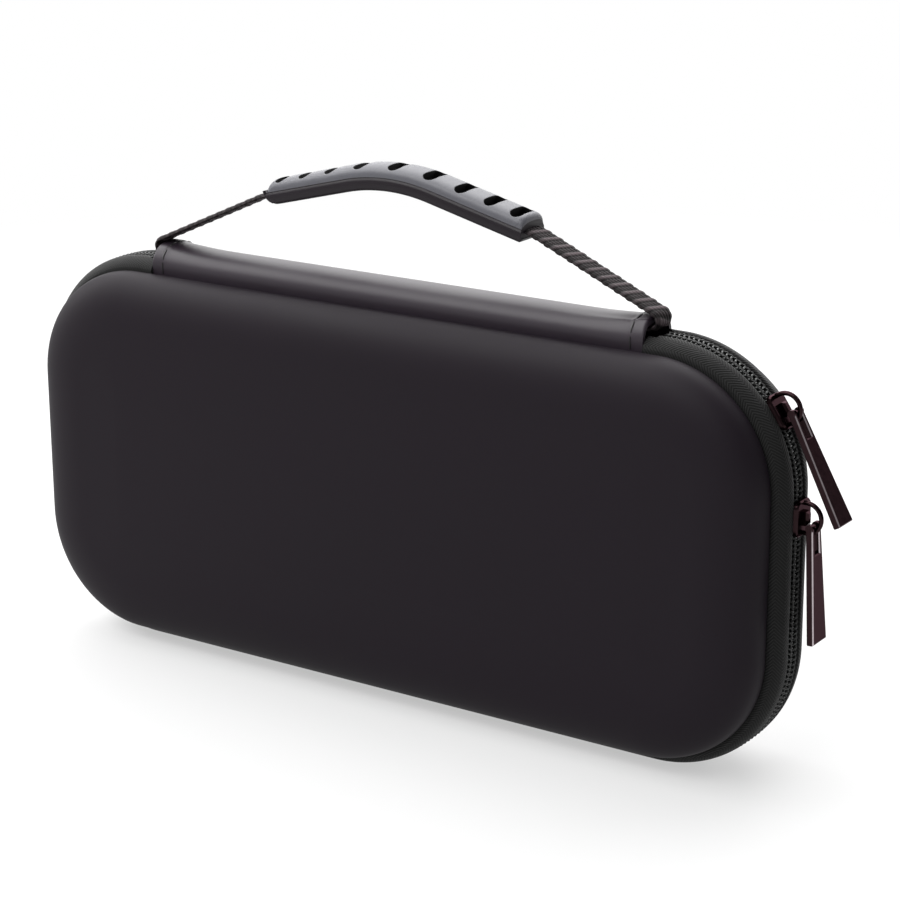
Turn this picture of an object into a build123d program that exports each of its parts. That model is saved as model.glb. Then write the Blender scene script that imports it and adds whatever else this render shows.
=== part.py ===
"""Portable game console case: two moulded shells zipped round three sides, with a sewn spine and a carry handle.

Millimetres, Z up, standing on its long bottom edge. The origin is on the floor, midway along that edge.
Front is -Y. The middle plane between the two shells is Y = 0.
Sections of what runs round the case are drawn as (y, height), height being measured out from the case outline.
"""
from math import cos, degrees, radians, sin, sqrt, tan
import os

from build123d import *

# Case outline, taken over the zip chain
CASE_W = 258.0
CASE_H = 122.0
CORNER_R = 38.7
HALF_DEPTH = 21.0

# Moulded shells
SEAM_Y = 8.6         # sewn line, out from the middle plane
SEAM_INSET = 3.8     # sewn line, in from the case outline
EDGE_R = 11.0        # soft edge round the big faces
WALL = 4.0
RIM_STEP = 1.2       # rebate that tape and spine are sewn into
RIM_Y = 5.4          # free edge of the rim

# Zip tape, folded back on its sewn edge and arched out to the chain
TAPE_T = 0.9
TAPE_ARCH_R = 5.6
TAPE_ARCH_Y = 3.6
TAPE_GAP = 0.2       # between the spine's end and the tape
HEM_T = 1.0          # sewn edge lying in the rebate
HEM_Y = 5.6
GROOVE_Y = 2.9       # where the tape dips beside the chain
CHAIN_BED = 2.65     # depth of the strip the chain is sewn to
CHAIN_BED_T = 0.6

# Zip chain, one coil to each tape
COIL_OUT_Y = 2.6
COIL_IN_Y = 0.6
COIL_BEVEL = 0.5

# Spine panel
SPINE_RISE = 8.2
SPINE_T = 1.2
SPINE_END_GAP = 5.3  # spine's end, in from where the corner starts

# Handle
WEB_W = 7.5
WEB_T = 1.3
WEB_BEND_R = 2.0
WEB_TAB = 14.0
WEB_SLOPE = 24.0     # free run of the webbing, down from level
WEB_MOUTH_R = 20.0   # bend where the webbing leaves the grip
WEB_CLEAR = 0.03
WEB_BEND_IN = 0.2    # middle of the bend, in from the spine's end
WEB_ROOM_END = 0.3   # room in the tapes past the bend
WEB_ROOM_SIDE = 1.2  # room in the tapes beside the bend
WEB_ROOM_DEPTH = 1.6
GRIP_HALF = 45.0
GRIP_BEND_R = 60.0   # bend in the middle of the grip, whose ends are straight
GRIP_SLOPE = 14.0
GRIP_HALF_W = 6.2
GRIP_SIDE = (-2.7, 1.2)
GRIP_CROWN = 5.0
GRIP_LEDGE = 0.5
GRIP_BEVEL = 0.8
GRIP_TOE_R = 3.0     # lower corners of the grip's ends
GRIP_TIP_R = 1.4     # upper corners of the grip's ends
SLOT_PLACES = (11.3, 21.5, 31.0, 40.0)   # along the webbing, either way from the middle slot
SLOT_W = 3.0
SLOT_L = 8.6
SLOT_FLOOR = 1.7

# Sliders
SLIDER_L = 10.0
SLIDER_W = 8.2
SLIDER_CORNER = 2.2
PLATE_TOP = (0.35, 1.6)
PLATE_LOW = (-5.1, -4.0)
POST_W = 0.7
POST_L = 3.0
LOOP_R = 4.2
LOOP_WIRE = 0.65
LOOP_LIFT = 2.35
LOOP_ROOT = 0.5      # how deep the loop's feet run into the plate
LUG_SPAN = (-1.9, 2.0)
LUG_W = 2.4
LUG_TOP = 3.2
LUG_EDGE = 0.6
PLATE_EDGE = 0.4
UPPER_DEG = 34.5     # place of the upper slider on its corner, up from level
LOWER_DROP = 5.8     # lower slider, down from where that corner starts

# Pulls
PIVOT = (-2.1, 4.3)
PULL_L = 32.1
PULL_T = 2.1
PULL_TOP_W = 5.2
PULL_END_W = 8.0
PULL_EYE_R = 1.15
PULL_BAR_R = 0.6
PULL_WINDOW_W = 2.7
PULL_WINDOW_L = 7.4
PULL_EDGE = 0.3
UPPER_PULL_LEAN = 27.9
LOWER_PULL_LEAN = 4.0

# Inside
BIND_T = 0.6
BIND_REACH = 4.0
PAD_INSET = 15.2
PAD_T = 4.0
PAD_ROUND = 1.5
STRAP_W = 25.0
STRAP_T = 1.2
STRAP_END = 9.0
PATCH_L = 13.0
PATCH_EDGE = 1.5
PATCH_T = 0.8
STRAP_RAMP = 6.0
POCKET_INSET = 16.0
POCKET_TOP = 82.0
POCKET_EDGE_W = 6.0
POCKET_EDGE_T = 1.0
MESH_T = 0.6
HEM_BAND_H = 8.0
HEM_BAND_T = 1.9

# Sizes that follow from those above
RIM_INSET = SEAM_INSET + RIM_STEP
INNER_INSET = SEAM_INSET + WALL
FLOOR_Y = HALF_DEPTH - WALL
CORNER_X = CASE_W / 2 - CORNER_R
LOW_Z = CORNER_R
HIGH_Z = CASE_H - CORNER_R
HEM_TOP = HEM_T - RIM_INSET
SPINE_HALF = CORNER_X - SPINE_END_GAP
SPINE_IN_Y = SEAM_Y - SPINE_T
SPINE_IN_RISE = SPINE_RISE - SPINE_T - SEAM_INSET - HEM_TOP
LOWER_Z = HIGH_Z - LOWER_DROP

# Plane seen from the right, x running back
SIDE = Plane(origin=(0, 0, 0), x_dir=(0, 1, 0), z_dir=(1, 0, 0))


def outline(inset):
    """Case outline moved in by inset."""
    return RectangleRounded(CASE_W - 2 * inset, CASE_H - 2 * inset, CORNER_R - inset)


def slab(inset, y_from, y_to):
    """Plate of the case outline moved in by inset, running forward from y_from to y_to."""
    plane = Plane(origin=(0, y_from, CASE_H / 2), x_dir=(1, 0, 0), z_dir=(0, -1, 0))
    return extrude(plane * outline(inset), amount=y_from - y_to)


def foremost(part):
    """Edges of a part's front face."""
    return part.edges().group_by(Axis.Y)[0]


def placed(section, origin, outward):
    """Section (y, height) set at origin with its height pointing outward."""
    normal = Vector(0, 1, 0).cross(Vector(*outward))
    return Plane(origin=origin, x_dir=(0, 1, 0), z_dir=normal) * section


def along_zip(section, start_x):
    """Carries a section from start_x on the top round a corner, down, and along the bottom, on both sides."""
    upper = Axis((CORNER_X, 0, HIGH_Z), (0, 1, 0))
    lower = Axis((CORNER_X, 0, LOW_Z), (0, 1, 0))
    at_top = placed(section, (CORNER_X, 0, CASE_H), (0, 0, 1))
    at_side = placed(section, (CASE_W / 2, 0, LOW_Z), (1, 0, 0))
    at_middle = placed(section, (0, 0, 0), (0, 0, -1))
    half = extrude(at_top, amount=CORNER_X - start_x, dir=(-1, 0, 0))
    half += revolve(at_top, upper, 90)
    half += extrude(at_side, amount=HIGH_Z - LOW_Z, dir=(0, 0, 1))
    half += revolve(at_side, lower, 90)
    half += extrude(at_middle, amount=CORNER_X, dir=(1, 0, 0))
    return half + mirror(half, about=Plane.YZ)


def arch(y, radius):
    """Height of the tape's arch at y."""
    return -TAPE_ARCH_R + sqrt(radius ** 2 - (y - TAPE_ARCH_Y) ** 2)


# Shells
front_body = slab(SEAM_INSET, -SEAM_Y, -HALF_DEPTH)
front_body = fillet(foremost(front_body), EDGE_R)
front_rim = slab(RIM_INSET, -RIM_Y, -SEAM_Y)
front_hollow = slab(INNER_INSET, -RIM_Y, -FLOOR_Y)
front_hollow = fillet(foremost(front_hollow), EDGE_R - WALL)
front_shell = front_body + front_rim - front_hollow
rear_shell = mirror(front_shell, about=Plane.XZ)

# Zip tapes
bend_y = GROOVE_Y + TAPE_T
arch_in = TAPE_ARCH_R - TAPE_T
fold_y = TAPE_ARCH_Y + sqrt(arch_in ** 2 - (HEM_TOP + TAPE_ARCH_R) ** 2)
bed_low = -CHAIN_BED - CHAIN_BED_T
tape_out = ThreePointArc(
    (SEAM_Y, arch(SEAM_Y, TAPE_ARCH_R)), (TAPE_ARCH_Y, 0), (GROOVE_Y, arch(GROOVE_Y, TAPE_ARCH_R)))
tape_bed = Polyline(
    (GROOVE_Y, arch(GROOVE_Y, TAPE_ARCH_R)), (GROOVE_Y, -CHAIN_BED), (COIL_IN_Y, -CHAIN_BED),
    (COIL_IN_Y, bed_low), (bend_y, bed_low), (bend_y, arch(bend_y, arch_in)))
arch_mid_y = (bend_y + fold_y) / 2
tape_in = ThreePointArc(
    (bend_y, arch(bend_y, arch_in)), (arch_mid_y, arch(arch_mid_y, arch_in)), (fold_y, HEM_TOP))
tape_hem = Polyline(
    (fold_y, HEM_TOP), (HEM_Y, HEM_TOP), (HEM_Y, -RIM_INSET), (SEAM_Y, -RIM_INSET),
    (SEAM_Y, arch(SEAM_Y, TAPE_ARCH_R)))
tape_section = make_face(tape_out + tape_bed + tape_in + tape_hem)
rear_zip_tape = along_zip(tape_section, SPINE_HALF + TAPE_GAP)

# Room for the handle's webbing where each tape starts
bend_x = SPINE_HALF - WEB_BEND_IN
web_room_x = bend_x + WEB_BEND_R + WEB_T / 2 + WEB_ROOM_END
web_room = Pos(0, 0, CASE_H) * Box(2 * web_room_x, WEB_W + 2 * WEB_ROOM_SIDE, 2 * WEB_ROOM_DEPTH)
rear_zip_tape -= web_room
front_zip_tape = mirror(rear_zip_tape, about=Plane.XZ)

# Zip coils, seated on the strip beside the groove
coil_section = make_face(Polyline(
    (COIL_IN_Y, -CHAIN_BED), (COIL_OUT_Y, -CHAIN_BED), (COIL_OUT_Y, -COIL_BEVEL),
    (COIL_OUT_Y - COIL_BEVEL, 0), (COIL_IN_Y + COIL_BEVEL, 0), (COIL_IN_Y, -COIL_BEVEL), close=True))
rear_zip_coil = along_zip(coil_section, web_room_x)
front_zip_coil = mirror(rear_zip_coil, about=Plane.XZ)

# Spine panel, sewn into both rebates
spine_out = EllipticalCenterArc((0, -SEAM_INSET), SEAM_Y, SPINE_RISE, start_angle=0, arc_size=180)
spine_in = EllipticalCenterArc((0, HEM_TOP), SPINE_IN_Y, SPINE_IN_RISE, start_angle=0, arc_size=180)
spine_right = Polyline(
    (SEAM_Y, -SEAM_INSET), (SEAM_Y, -RIM_INSET), (HEM_Y, -RIM_INSET), (HEM_Y, HEM_TOP), (SPINE_IN_Y, HEM_TOP))
spine_left = mirror(spine_right, about=Plane.YZ)
spine_section = make_face(spine_out + spine_right + spine_in + spine_left)
spine_panel = extrude(
    placed(spine_section, (-SPINE_HALF, 0, CASE_H), (0, 0, 1)), amount=2 * SPINE_HALF, dir=(1, 0, 0))

# Handle webbing: bend and straight in the grip, mouth, free run, bend round the spine's end, tab under it
spine_under = HEM_TOP + SPINE_IN_RISE * sqrt(1 - (WEB_W / 2 / SPINE_IN_Y) ** 2)
tab_z = CASE_H + spine_under - WEB_CLEAR - WEB_T / 2
bend_z = tab_z + WEB_BEND_R
tab_end_x = SPINE_HALF - WEB_TAB
grip_turn = radians(GRIP_SLOPE)
run_turn = radians(WEB_SLOPE)
run_out_x = GRIP_HALF + WEB_MOUTH_R * (sin(run_turn) - sin(grip_turn))
run_in_x = bend_x + WEB_BEND_R * sin(run_turn)
run_drop = (run_in_x - run_out_x) * tan(run_turn)
mouth_drop = WEB_MOUTH_R * (cos(grip_turn) - cos(run_turn))
mouth_z = bend_z + WEB_BEND_R * cos(run_turn) + run_drop + mouth_drop
straight_x = GRIP_BEND_R * sin(grip_turn)
straight_z = mouth_z + (GRIP_HALF - straight_x) * tan(grip_turn)
grip_axis_z = straight_z - GRIP_BEND_R * cos(grip_turn)
handle_top = grip_axis_z + GRIP_BEND_R


def turned(x, z, reach, turn):
    """Point in the handle's side view at a reach from (x, z), turned right from straight up."""
    return (x + reach * sin(turn), z + reach * cos(turn))


def grip_line(offset):
    """Right half of a line along the grip, offset out from the webbing's middle."""
    reach = GRIP_BEND_R + offset
    top = turned(0, grip_axis_z, reach, 0)
    near = turned(0, grip_axis_z, reach, grip_turn / 2)
    straight = turned(straight_x, straight_z, offset, grip_turn)
    mouth = turned(GRIP_HALF, mouth_z, offset, grip_turn)
    return ThreePointArc(top, near, straight) + Line(straight, mouth)


def web_line(offset):
    """Right half of one face of the webbing, offset out from its middle, from the top to the tab's end."""
    axis_x, axis_z = turned(GRIP_HALF, mouth_z, -WEB_MOUTH_R, grip_turn)
    reach = WEB_MOUTH_R + offset
    mouth = turned(axis_x, axis_z, reach, grip_turn)
    near = turned(axis_x, axis_z, reach, (grip_turn + run_turn) / 2)
    leave = turned(axis_x, axis_z, reach, run_turn)
    small = WEB_BEND_R + offset
    meet = turned(bend_x, bend_z, small, run_turn)
    outer = (bend_x + small, bend_z)
    under = (bend_x, bend_z - small)
    line = grip_line(offset) + ThreePointArc(mouth, near, leave) + Line(leave, meet)
    return line + ThreePointArc(meet, outer, under) + Line(under, (tab_end_x, bend_z - small))


web_half = make_face(
    web_line(WEB_T / 2) + web_line(-WEB_T / 2)
    + Line((0, handle_top - WEB_T / 2), (0, handle_top + WEB_T / 2))
    + Line((tab_end_x, tab_z - WEB_T / 2), (tab_end_x, tab_z + WEB_T / 2)))
web_half = extrude(Plane.XZ * web_half, amount=WEB_W / 2, both=True)
handle_webbing = web_half + mirror(web_half, about=Plane.YZ)

# Grip, moulded round the webbing
grip_low, grip_ledge_h = GRIP_SIDE
grip_crown_y = GRIP_HALF_W - GRIP_LEDGE
grip_walls = Polyline(
    (grip_crown_y, grip_ledge_h), (GRIP_HALF_W, grip_ledge_h), (GRIP_HALF_W, grip_low + GRIP_BEVEL),
    (GRIP_HALF_W - GRIP_BEVEL, grip_low), (GRIP_BEVEL - GRIP_HALF_W, grip_low),
    (-GRIP_HALF_W, grip_low + GRIP_BEVEL), (-GRIP_HALF_W, grip_ledge_h), (-grip_crown_y, grip_ledge_h))
grip_dome = ThreePointArc((-grip_crown_y, grip_ledge_h), (0, GRIP_CROWN), (grip_crown_y, grip_ledge_h))
grip_section = make_face(grip_walls + grip_dome) - Rectangle(WEB_W, WEB_T)
grip_axis = Axis((0, 0, grip_axis_z), (0, 1, 0))
grip_middle = placed(grip_section, (0, 0, handle_top), (0, 0, 1))
grip_straight = placed(grip_section, (straight_x, 0, straight_z), (sin(grip_turn), 0, cos(grip_turn)))
grip_half = revolve(grip_middle, grip_axis, GRIP_SLOPE)
straight_l = (GRIP_HALF - straight_x) / cos(grip_turn)
grip_half += extrude(grip_straight, amount=straight_l, dir=(cos(grip_turn), 0, -sin(grip_turn)))

# Rounded toes and tips at the grip's ends
grip_toe = turned(GRIP_HALF, mouth_z, grip_low, grip_turn)
grip_tip = turned(GRIP_HALF, mouth_z, GRIP_CROWN, grip_turn)
grip_side = make_face(
    grip_line(GRIP_CROWN) + grip_line(grip_low)
    + Line((0, handle_top + grip_low), (0, handle_top + GRIP_CROWN)) + Line(grip_toe, grip_tip))
grip_side = fillet(grip_side.vertices().sort_by(Axis.Y)[0], GRIP_TOE_R)
grip_side = fillet(grip_side.vertices().sort_by(Axis.X)[-1], GRIP_TIP_R)
grip_half = grip_half & extrude(Plane.XZ * grip_side, amount=GRIP_HALF_W, both=True)
handle_grip = grip_half + mirror(grip_half, about=Plane.YZ)

# Cross slots
slot = extrude(SlotOverall(SLOT_L, SLOT_W, rotation=90), amount=GRIP_CROWN)
bend_length = GRIP_BEND_R * grip_turn
for place in (0, *SLOT_PLACES):
    turn = min(place / GRIP_BEND_R, grip_turn)
    x, z = turned(0, grip_axis_z, GRIP_BEND_R, turn)
    past = max(place - bend_length, 0)
    at_place = Pos(x + past * cos(turn), 0, z - past * sin(turn)) * Rot(0, degrees(turn), 0)
    cut = at_place * Pos(0, 0, SLOT_FLOOR) * slot
    handle_grip -= cut
    if place:
        handle_grip -= mirror(cut, about=Plane.YZ)

# Slider, cast in one with its loop: X is out from the chain, Z along it
plan = RectangleRounded(SLIDER_W, SLIDER_L, SLIDER_CORNER)


def plate(low, high):
    """Slider plate between two heights."""
    return extrude(SIDE.offset(low) * plan, amount=high - low)


def bar(x_range, y_size, z_range):
    """Box between two heights x and two places z along the chain."""
    size = (x_range[1] - x_range[0], y_size, z_range[1] - z_range[0])
    middle = ((x_range[0] + x_range[1]) / 2, 0, (z_range[0] + z_range[1]) / 2)
    return Pos(*middle) * Box(*size)


loop_plane = Plane(origin=(LOOP_LIFT, 0, LOOP_R), x_dir=(0, 1, 0), z_dir=(1, 0, 0))
loop_ring = revolve(loop_plane * Circle(LOOP_WIRE), Axis((LOOP_LIFT, 0, 0), (0, 1, 0)), 180)
loop_leg = extrude(loop_plane * Circle(LOOP_WIRE), amount=PLATE_TOP[1] - LOOP_ROOT - LOOP_LIFT)
top_plate = plate(*PLATE_TOP)
top_plate = chamfer(top_plate.edges().group_by(Axis.X)[-1], PLATE_EDGE)
low_plate = plate(*PLATE_LOW)
low_plate = chamfer(low_plate.edges().group_by(Axis.X)[0], PLATE_EDGE)
lug = bar((PLATE_TOP[0], LUG_TOP), LUG_W, LUG_SPAN)
lug = chamfer(lug.edges().group_by(Axis.X)[-1], LUG_EDGE)
slider = top_plate + low_plate + lug
slider += bar((PLATE_LOW[0], PLATE_TOP[1]), POST_W, (-POST_L / 2, POST_L / 2))
slider += loop_ring + loop_leg + mirror(loop_leg, about=Plane.XY)

# Pull, hung from its cross bar at the origin, flat face out
blade = make_face(Polyline(
    (-PULL_TOP_W / 2, 0), (PULL_TOP_W / 2, 0), (PULL_END_W / 2, -PULL_L), (-PULL_END_W / 2, -PULL_L), close=True))
blade -= Pos(0, -PULL_WINDOW_L / 2) * Rectangle(PULL_WINDOW_W, PULL_WINDOW_L)
pull = extrude(SIDE * blade, amount=PULL_T / 2, both=True)
face_edges = pull.edges().filter_by(Axis.X, reverse=True)
pull = chamfer(face_edges.filter_by(lambda edge: edge.center().Z < -PULL_EDGE), PULL_EDGE)
eye = extrude(Plane.XZ * Circle(PULL_EYE_R), amount=PULL_TOP_W / 2, both=True)
eye -= Box(PULL_L, PULL_WINDOW_W, PULL_L)
pull += eye + extrude(Plane.XZ * Circle(PULL_BAR_R), amount=PULL_TOP_W / 2, both=True)

upper_place = Pos(CORNER_X, 0, HIGH_Z) * Rot(0, -UPPER_DEG, 0) * Pos(CORNER_R, 0, 0)
lower_place = Pos(CASE_W / 2, 0, LOWER_Z)
pivot = Pos(PIVOT[1], 0, PIVOT[0])
upper_slider = upper_place * slider
lower_slider = lower_place * slider
upper_pull = upper_place * pivot * Rot(0, UPPER_DEG - UPPER_PULL_LEAN, 0) * pull
lower_pull = lower_place * pivot * Rot(0, -LOWER_PULL_LEAN, 0) * pull

# Bindings over the raw edges of both rims
front_rim_binding = slab(-HEM_TOP, BIND_T - RIM_Y, -RIM_Y) - slab(INNER_INSET + BIND_T, BIND_T - RIM_Y, -RIM_Y)
front_rim_binding += slab(INNER_INSET, -RIM_Y, -RIM_Y - BIND_REACH)
front_rim_binding -= slab(INNER_INSET + BIND_T, BIND_T - RIM_Y, -RIM_Y - BIND_REACH)
rear_rim_binding = mirror(front_rim_binding, about=Plane.XZ)

# Console bed and strap in the rear half
pad_y = FLOOR_Y - PAD_T
console_pad = slab(PAD_INSET, FLOOR_Y, pad_y)
console_pad = fillet(foremost(console_pad), PAD_ROUND)
strap_low = PAD_INSET + STRAP_END
strap_high = CASE_H - strap_low
strap_mid = CASE_H / 2
over_y = pad_y - STRAP_T - PATCH_T
lower_strap = make_face(Polyline(
    (pad_y, strap_low), (pad_y, strap_mid), (pad_y - STRAP_T, strap_mid), (pad_y - STRAP_T, strap_low), close=True))
upper_strap = make_face(Polyline(
    (pad_y, strap_high), (pad_y, strap_mid + STRAP_RAMP), (over_y, strap_mid), (over_y, strap_mid - PATCH_L),
    (over_y - STRAP_T, strap_mid - PATCH_L), (over_y - STRAP_T, strap_mid),
    (pad_y - STRAP_T, strap_mid + STRAP_RAMP), (pad_y - STRAP_T, strap_high), close=True))
console_strap_lower = extrude(SIDE * lower_strap, amount=STRAP_W / 2, both=True)
console_strap_upper = extrude(SIDE * upper_strap, amount=STRAP_W / 2, both=True)
patch_w = STRAP_W - 2 * PATCH_EDGE
strap_patch = Pos(0, pad_y - STRAP_T - PATCH_T / 2, strap_mid - PATCH_L / 2) * Box(patch_w, PATCH_T, PATCH_L)

# Mesh pocket on the floor of the front half
below_hem = Pos(0, 0, POCKET_TOP - CASE_H / 2) * Box(CASE_W, 4 * HALF_DEPTH, CASE_H)
edge_y = POCKET_EDGE_T - FLOOR_Y
mesh_pocket_edge = slab(POCKET_INSET, edge_y, -FLOOR_Y) - slab(POCKET_INSET + POCKET_EDGE_W, edge_y, -FLOOR_Y)
mesh_pocket_edge = mesh_pocket_edge & below_hem
mesh_pocket = slab(POCKET_INSET, edge_y + MESH_T, edge_y) & below_hem
pocket_w = CASE_W - 2 * POCKET_INSET
mesh_pocket_hem = Pos(0, HEM_BAND_T / 2 - FLOOR_Y, POCKET_TOP + HEM_BAND_H / 2) * Box(pocket_w, HEM_BAND_T, HEM_BAND_H)

nodes = {
    "front_shell": front_shell,
    "rear_shell": rear_shell,
    "front_zip_tape": front_zip_tape,
    "rear_zip_tape": rear_zip_tape,
    "front_zip_coil": front_zip_coil,
    "rear_zip_coil": rear_zip_coil,
    "spine_panel": spine_panel,
    "handle_webbing": handle_webbing,
    "handle_grip": handle_grip,
    "upper_slider": upper_slider,
    "upper_pull": upper_pull,
    "lower_slider": lower_slider,
    "lower_pull": lower_pull,
    "front_rim_binding": front_rim_binding,
    "rear_rim_binding": rear_rim_binding,
    "console_pad": console_pad,
    "console_strap_lower": console_strap_lower,
    "console_strap_upper": console_strap_upper,
    "strap_patch": strap_patch,
    "mesh_pocket": mesh_pocket,
    "mesh_pocket_edge": mesh_pocket_edge,
    "mesh_pocket_hem": mesh_pocket_hem,
}

os.makedirs("parts", exist_ok=True)
for name, solid in nodes.items():
    export_step(solid, f"parts/{name}.step")
    box = solid.bounding_box()
    print(name, len(solid.solids()), "solid", round(solid.volume), "mm3", box.min, box.max)
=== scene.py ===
# %% [markdown]
# # A zipped carry case for a handheld game console
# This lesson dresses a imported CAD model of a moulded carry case. The CAD holds every piece at its real size
# and place. Blender gives the soft pieces their cloth, the zip its wound coils and every surface its finish.
# Sizes are written in millimetres, and each mesh is turned to metres as it is made.

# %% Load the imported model
import math

import bmesh
import bpy
import numpy as np
from mathutils import Matrix, Vector


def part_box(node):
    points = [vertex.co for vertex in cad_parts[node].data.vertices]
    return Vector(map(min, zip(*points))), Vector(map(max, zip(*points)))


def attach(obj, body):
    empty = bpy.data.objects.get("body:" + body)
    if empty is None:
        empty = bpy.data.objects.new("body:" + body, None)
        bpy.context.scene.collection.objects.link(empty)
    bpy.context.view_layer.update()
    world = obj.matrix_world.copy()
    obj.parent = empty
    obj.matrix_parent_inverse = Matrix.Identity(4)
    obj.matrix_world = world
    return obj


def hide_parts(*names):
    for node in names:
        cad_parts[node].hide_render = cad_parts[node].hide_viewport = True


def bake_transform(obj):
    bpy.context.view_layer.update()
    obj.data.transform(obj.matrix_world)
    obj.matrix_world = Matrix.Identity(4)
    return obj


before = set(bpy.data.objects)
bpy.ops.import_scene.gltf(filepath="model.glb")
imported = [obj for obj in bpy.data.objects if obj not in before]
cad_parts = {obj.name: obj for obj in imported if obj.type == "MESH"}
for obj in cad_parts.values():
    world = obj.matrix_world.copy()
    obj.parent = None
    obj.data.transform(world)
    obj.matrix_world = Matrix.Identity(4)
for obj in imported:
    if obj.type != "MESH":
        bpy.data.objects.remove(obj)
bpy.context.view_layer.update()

MM = 0.001

# %% [markdown]
# ## Camera
# A product photograph is taken with a long lens from a little above. The camera stands on a line from the
# point that it looks at, turned to the right, raised, and rolled by a fraction of a degree. A long lens
# keeps the far end of the case from shrinking.

# %% Camera
TURN, RAISE, ROLL = (math.radians(a) for a in (33.87, 17.13, -0.23))
LOOKED_AT = Vector((17.67, 0.0, 77.26)) * MM
CAMERA_DISTANCE = 738.1 * MM
LENS_MM = 102.4

back = Vector((math.sin(TURN) * math.cos(RAISE), -math.cos(TURN) * math.cos(RAISE), math.sin(RAISE)))
level = Vector((math.cos(TURN), math.sin(TURN), 0.0))
upward = back.cross(level)
right = level * math.cos(ROLL) + upward * math.sin(ROLL)
above = upward * math.cos(ROLL) - level * math.sin(ROLL)
camera = bpy.data.objects.new("camera", bpy.data.cameras.new("camera"))
camera.data.lens = LENS_MM
stand = Matrix.Translation(LOOKED_AT + back * CAMERA_DISTANCE)
camera.matrix_world = stand @ Matrix((right, above, back)).transposed().to_4x4()
bpy.context.scene.collection.objects.link(camera)
bpy.context.scene.camera = camera
print("camera at", [round(c, 3) for c in camera.matrix_world.translation])

# %% [markdown]
# ## Colours and nodes
# Paint charts give colours as sRGB hex codes, and Blender shades with linear light, so one function turns
# one into the other. A second one adds a shader node, sets it and links it. The rest is what most finishes
# share: noise of a size in millimetres, a wave of a length in millimetres, a mix of two colours with the
# relief that goes with it, and a gloss that changes from place to place.

# %% Colour and node helpers
def linear(code):
    """Linear RGBA of an sRGB hex colour."""
    parts = [int(code[i:i + 2], 16) / 255 for i in (1, 3, 5)]
    return [p / 12.92 if p <= 0.04045 else ((p + 0.055) / 1.055) ** 2.4 for p in parts] + [1.0]


def add(tree, kind, inputs, **settings):
    """Adds a node with its settings, and sets or links its inputs by name or number."""
    node = tree.nodes.new("ShaderNode" + kind)
    for key, value in settings.items():
        setattr(node, key, value)
    for key, value in inputs.items():
        if isinstance(value, bpy.types.NodeSocket):
            tree.links.new(value, node.inputs[key])
        else:
            node.inputs[key].default_value = value
    return node


def begin_finish(name, sockets):
    """A new material, its node tree and its shader with the values that hold all over the surface."""
    finish = bpy.data.materials.new(name)
    finish.use_nodes = True
    shader = finish.node_tree.nodes["Principled BSDF"]
    for key, value in sockets.items():
        shader.inputs[key].default_value = value
    return finish, finish.node_tree, shader


# %% Pattern helpers
def noise(tree, size_mm, detail):
    """Level of a noise with marks of about this size, fixed to the piece."""
    place = add(tree, "TexCoord", {}).outputs["Object"]
    return add(tree, "TexNoise", {"Vector": place, "Scale": 1 / (size_mm * MM), "Detail": detail}).outputs[0]


def thread_place(tree):
    """The distances along and across a weave that the mesh carries, in millimetres."""
    return add(tree, "Attribute", {}, attribute_name="thread").outputs["Vector"]


def wave(tree, distance, length_mm):
    """A sine wave of this length over a distance in millimetres."""
    turns = add(tree, "Math", {0: distance, 1: 2 * math.pi / length_mm}, operation="MULTIPLY")
    return add(tree, "Math", {0: turns.outputs[0]}, operation="SINE").outputs[0]


def colour_and_relief(tree, shader, level, dark, pale, strength, depth_mm, height=None):
    """Mixes two colours by a level, and raises the surface by that level or by another height."""
    if height is None:
        height = level
    tint = add(tree, "Mix", {0: level, 6: linear(dark), 7: linear(pale)}, data_type="RGBA")
    relief = add(tree, "Bump", {"Strength": strength, "Distance": depth_mm * MM, "Height": height})
    tree.links.new(tint.outputs[2], shader.inputs["Base Color"])
    tree.links.new(relief.outputs[0], shader.inputs["Normal"])


def vary_gloss(tree, shader, level, smooth, rough):
    """Roughness between two values by a level."""
    gloss = add(tree, "MapRange", {"Value": level, 3: smooth, 4: rough})
    tree.links.new(gloss.outputs[0], shader.inputs["Roughness"])


# %% [markdown]
# ## Floor and light
# The case stands on a plain white sweep. Black goods are lit with large soft lamps, since the eye reads a
# dark surface by what it mirrors: one lamp overhead and one behind lift the top faces, one high in front
# draws the soft line along the upper edge, and one at the left draws the left edge. The floor shows white to
# the camera and to mirror-like surfaces but still takes the shadow near the case. Further off it is plain
# white, as a lit sweep is.

# %% Floor
FLOOR_HALF = 6.0     # metres
FLOOR_GLOW = 0.50    # share of the floor's white near the case that doesn't depend on the lamps
SHADOW_REACH = (0.30, 0.70)   # metres from the case over which that share grows to all of it

SQUARE = ((-1, -1), (1, -1), (1, 1), (-1, 1))

floor_mesh = bpy.data.meshes.new("floor")
floor_mesh.from_pydata([(x * FLOOR_HALF, y * FLOOR_HALF, 0) for x, y in SQUARE], [], [(0, 1, 2, 3)])
floor = bpy.data.objects.new("floor", floor_mesh)
bpy.context.scene.collection.objects.link(floor)
floor_paper, tree, shader = begin_finish(
    "paper_sweep_matt_white", {"Roughness": 0.9, "Base Color": linear("#c8c8c8")})
rays = add(tree, "LightPath", {}).outputs
seen = add(tree, "Math", {0: rays["Is Camera Ray"], 1: rays["Is Glossy Ray"]}, operation="MAXIMUM")
shown = add(tree, "Math", {0: seen.outputs[0], 1: rays["Is Transmission Ray"]}, operation="MAXIMUM")
away = add(tree, "VectorMath", {0: add(tree, "NewGeometry", {}).outputs["Position"]}, operation="LENGTH")
reach = add(tree, "MapRange", {
    "Value": away.outputs["Value"], 1: SHADOW_REACH[0], 2: SHADOW_REACH[1], 3: FLOOR_GLOW, 4: 1.0})
share = add(tree, "Math", {0: shown.outputs[0], 1: reach.outputs[0]}, operation="MULTIPLY")
glow = add(tree, "Emission", {"Color": linear("#ffffff"), "Strength": 1.0})
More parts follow.
